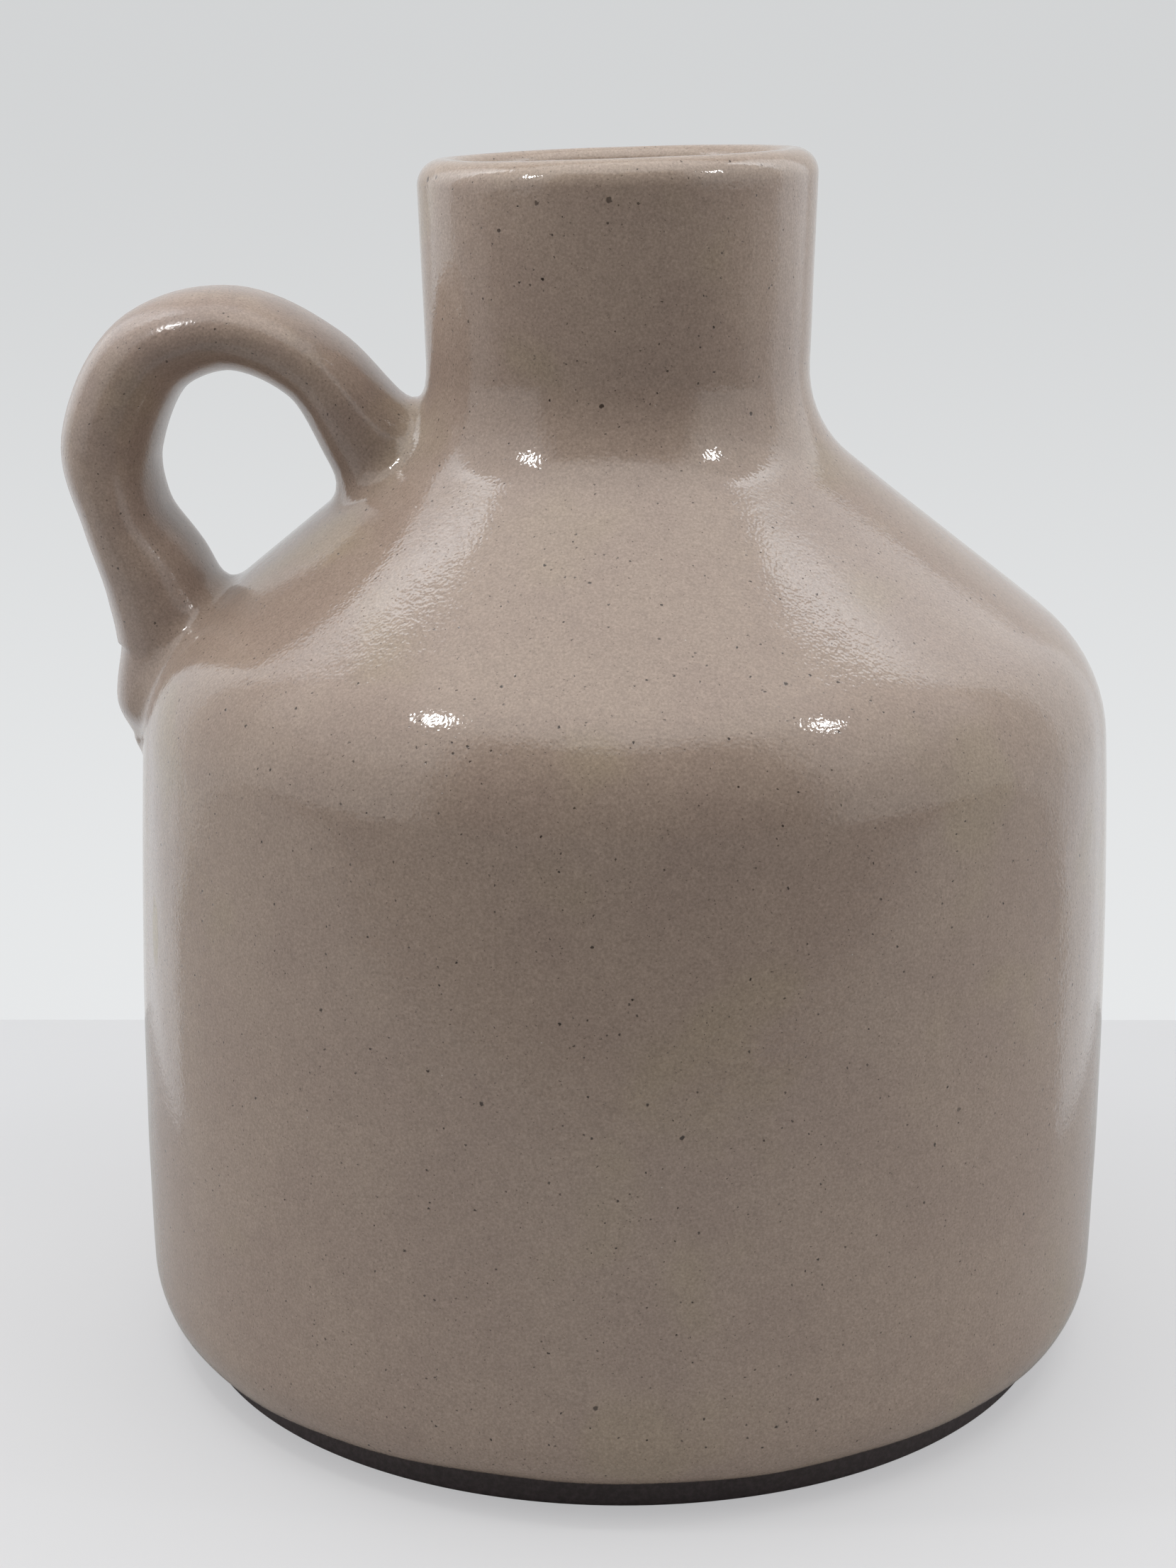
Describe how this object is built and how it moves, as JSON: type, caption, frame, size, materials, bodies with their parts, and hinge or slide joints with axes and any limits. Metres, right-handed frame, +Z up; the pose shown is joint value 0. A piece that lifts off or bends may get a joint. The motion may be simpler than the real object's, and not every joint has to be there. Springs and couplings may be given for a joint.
{
  "type": "stoneware jug",
  "caption": "Glazed stoneware jug with a cylindrical body, a conical shoulder, a short open neck and a small ring handle between the neck and the shoulder.",
  "frame": {"origin": "centre of the flat underside of the foot, on the axis the body was turned about", "axes": "+Z up along the turning axis, towards the mouth; the handle stands towards -X; +Y is to the back, away from the picture's camera"},
  "size_m": [0.131, 0.1238, 0.1506],
  "materials": {
    "glaze": "glossy speckled grey-beige glaze over brown stoneware, with a bare clay foot"
  },
  "bodies": {
    "root": {"jug": "glaze"}
  },
  "joints": []
}
